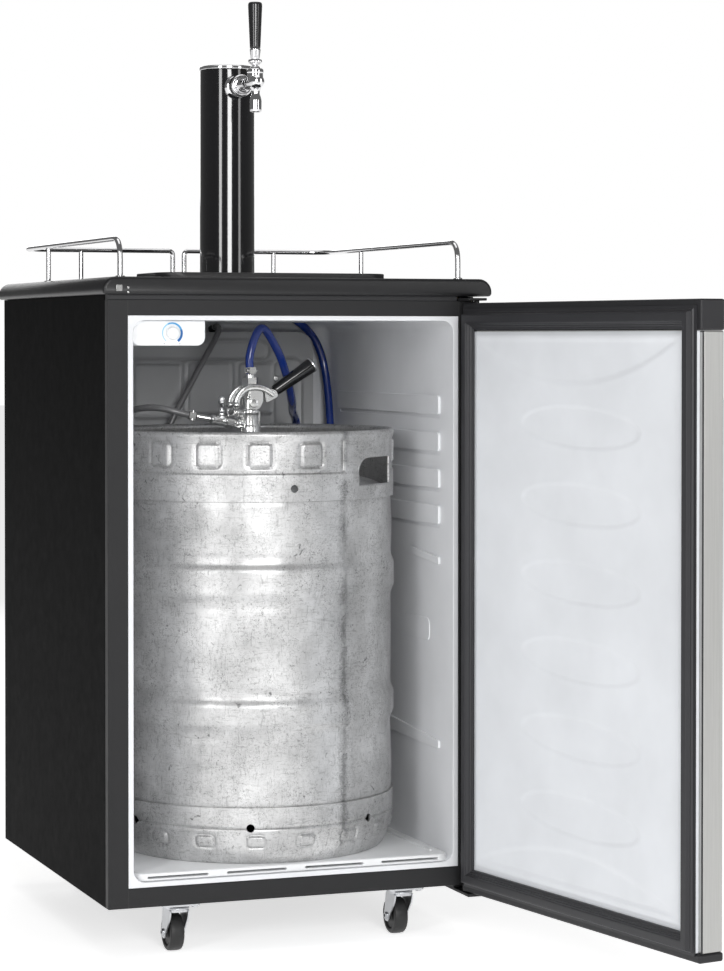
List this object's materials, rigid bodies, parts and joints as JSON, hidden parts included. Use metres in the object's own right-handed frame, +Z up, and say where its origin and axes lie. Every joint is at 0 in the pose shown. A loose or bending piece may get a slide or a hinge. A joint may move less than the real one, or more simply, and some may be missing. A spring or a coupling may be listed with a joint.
{
  "type": "kegerator",
  "caption": "Keg refrigerator on casters with its door open on a hooked-up keg, and a one-tap beer tower, guard rails and drip tray on its top.",
  "frame": {"origin": "on the floor, under the middle of the whole footprint with the door open", "axes": "+Z up, the cabinet's open front faces -Y, the door is hinged on the +X side"},
  "size_m": [0.6312, 1.253, 1.286],
  "materials": {
    "black_steel": "satin",
    "frame_grey": "satin",
    "black_plastic": "satin",
    "grey_plastic": "matte",
    "gasket_rubber": "matte",
    "white_plastic": "satin",
    "foam": "matte",
    "aluminium": "satin",
    "chrome": "polished",
    "zinc": "satin",
    "stainless": "brushed",
    "keg_steel": "worn satin",
    "beer_hose_blue": "gloss",
    "gas_hose_grey": "satin",
    "wheel_rubber": "matte",
    "gloss_black": "gloss"
  },
  "bodies": {
    "cabinet": {"cabinet_shell": "black_steel", "front_frame": "frame_grey", "inner_liner": "white_plastic", "insulation_foam": "foam", "base_pan": "black_steel", "back_panel": "black_steel", "countertop": "black_plastic", "keg_floor_plate": "white_plastic", "evaporator_plate": "aluminium", "thermostat_housing": "white_plastic", "compressor": "black_steel", "condenser_coil": "black_steel", "power_inlet": "black_plastic", "guard_rail_left": "chrome", "guard_rail_right": "chrome", "tower_column": "gloss_black", "tower_cap": "chrome", "faucet_shank": "chrome", "faucet_body": "chrome", "keg_shell": "keg_steel", "keg_top_chime": "keg_steel", "keg_bottom_chime": "keg_steel", "keg_valve": "chrome", "coupler_body": "chrome", "gas_valve_body": "chrome", "beer_hose": "beer_hose_blue", "gas_hose": "gas_hose_grey", "co2_cylinder": "aluminium", "co2_bracket": "zinc", "co2_regulator": "chrome", "hinge_lower": "black_steel", "hinge_upper": "black_steel", "caster_plate_front_left": "zinc", "caster_plate_rear_left": "zinc", "caster_plate_front_right": "zinc", "caster_plate_rear_right": "zinc"},
    "door": {"door_panel": "stainless", "door_liner": "white_plastic", "door_gasket": "gasket_rubber", "door_top_cap": "black_plastic", "door_bottom_cap": "black_plastic"},
    "tap_lever": {"faucet_lever": "chrome", "tap_handle": "black_plastic"},
    "thermostat_dial": {"thermostat_knob": "white_plastic"},
    "tray": {"drip_tray": "black_plastic"},
    "grate": {"drip_grate": "grey_plastic"},
    "coupler_handle": {"coupler_lever": "chrome", "coupler_grip": "gloss_black"},
    "probe": {"coupler_probe": "chrome"},
    "gas_lever": {"gas_valve_lever": "chrome"},
    "cylinder_valve": {"co2_valve_wheel": "black_plastic"},
    "caster_front_left": {"caster_fork_front_left": "zinc"},
    "wheel_front_left": {"caster_wheel_front_left": "wheel_rubber"},
    "caster_rear_left": {"caster_fork_rear_left": "zinc"},
    "wheel_rear_left": {"caster_wheel_rear_left": "wheel_rubber"},
    "caster_front_right": {"caster_fork_front_right": "zinc"},
    "wheel_front_right": {"caster_wheel_front_right": "wheel_rubber"},
    "caster_rear_right": {"caster_fork_rear_right": "zinc"},
    "wheel_rear_right": {"caster_wheel_rear_right": "wheel_rubber"}
  },
  "joints": [
    {"name": "door_hinge", "type": "hinge", "parent": "cabinet", "child": "door", "pos_m": [0.20441, -0.11804, 0.465], "axis": [0, 0, 1], "range_deg": [-100, 20]},
    {"name": "tap_lever_tilt", "type": "hinge", "parent": "cabinet", "child": "tap_lever", "pos_m": [-0.04559, 0.08196, 1.191], "axis": [1, 0, 0], "range_deg": [0, 32]},
    {"name": "thermostat_turn", "type": "hinge", "parent": "cabinet", "child": "thermostat_dial", "pos_m": [-0.21659, -0.08604, 0.825], "axis": [0, 1, 0], "range_deg": [-135, 135]},
    {"name": "drip_tray_lift", "type": "slide", "parent": "cabinet", "child": "tray", "axis": [0, 0, 1], "range_m": [0, 0.06]},
    {"name": "drip_grate_lift", "type": "slide", "parent": "tray", "child": "grate", "axis": [0, 0, 1], "range_m": [0, 0.04]},
    {"name": "coupler_handle_swing", "type": "hinge", "parent": "cabinet", "child": "coupler_handle", "pos_m": [-0.04559, 0.10496, 0.727], "axis": [0, 1, 0], "range_deg": [0, 40]},
    {"name": "coupler_probe_slide", "type": "slide", "parent": "cabinet", "child": "probe", "axis": [0, 0, -1], "range_m": [0, 0.012]},
    {"name": "gas_valve_turn", "type": "hinge", "parent": "cabinet", "child": "gas_lever", "pos_m": [-0.08759, 0.10496, 0.716], "axis": [0, 0, 1], "range_deg": [0, 90]},
    {"name": "cylinder_valve_turn", "type": "hinge", "parent": "cabinet", "child": "cylinder_valve", "pos_m": [0.11441, 0.55796, 0.668], "axis": [0, 0, 1], "range_deg": [0, 270]},
    {"name": "caster_swivel_front_left", "type": "hinge", "parent": "cabinet", "child": "caster_front_left", "pos_m": [-0.20559, -0.06404, 0.06], "axis": [0, 0, 1], "continuous": true},
    {"name": "wheel_spin_front_left", "type": "hinge", "parent": "caster_front_left", "child": "wheel_front_left", "pos_m": [-0.20559, -0.04604, 0.025], "axis": [1, 0, 0], "continuous": true},
    {"name": "caster_swivel_rear_left", "type": "hinge", "parent": "cabinet", "child": "caster_rear_left", "pos_m": [-0.20559, 0.38796, 0.06], "axis": [0, 0, 1], "continuous": true},
    {"name": "wheel_spin_rear_left", "type": "hinge", "parent": "caster_rear_left", "child": "wheel_rear_left", "pos_m": [-0.20559, 0.40596, 0.025], "axis": [1, 0, 0], "continuous": true},
    {"name": "caster_swivel_front_right", "type": "hinge", "parent": "cabinet", "child": "caster_front_right", "pos_m": [0.11441, -0.06404, 0.06], "axis": [0, 0, 1], "continuous": true},
    {"name": "wheel_spin_front_right", "type": "hinge", "parent": "caster_front_right", "child": "wheel_front_right", "pos_m": [0.11441, -0.04604, 0.025], "axis": [1, 0, 0], "continuous": true},
    {"name": "caster_swivel_rear_right", "type": "hinge", "parent": "cabinet", "child": "caster_rear_right", "pos_m": [0.11441, 0.38796, 0.06], "axis": [0, 0, 1], "continuous": true},
    {"name": "wheel_spin_rear_right", "type": "hinge", "parent": "caster_rear_right", "child": "wheel_rear_right", "pos_m": [0.11441, 0.40596, 0.025], "axis": [1, 0, 0], "continuous": true}
  ],
  "couplings": [
    {"joint": "coupler_probe_slide", "follows": "coupler_handle_swing", "m_per_rad": 0.01718}
  ]
}
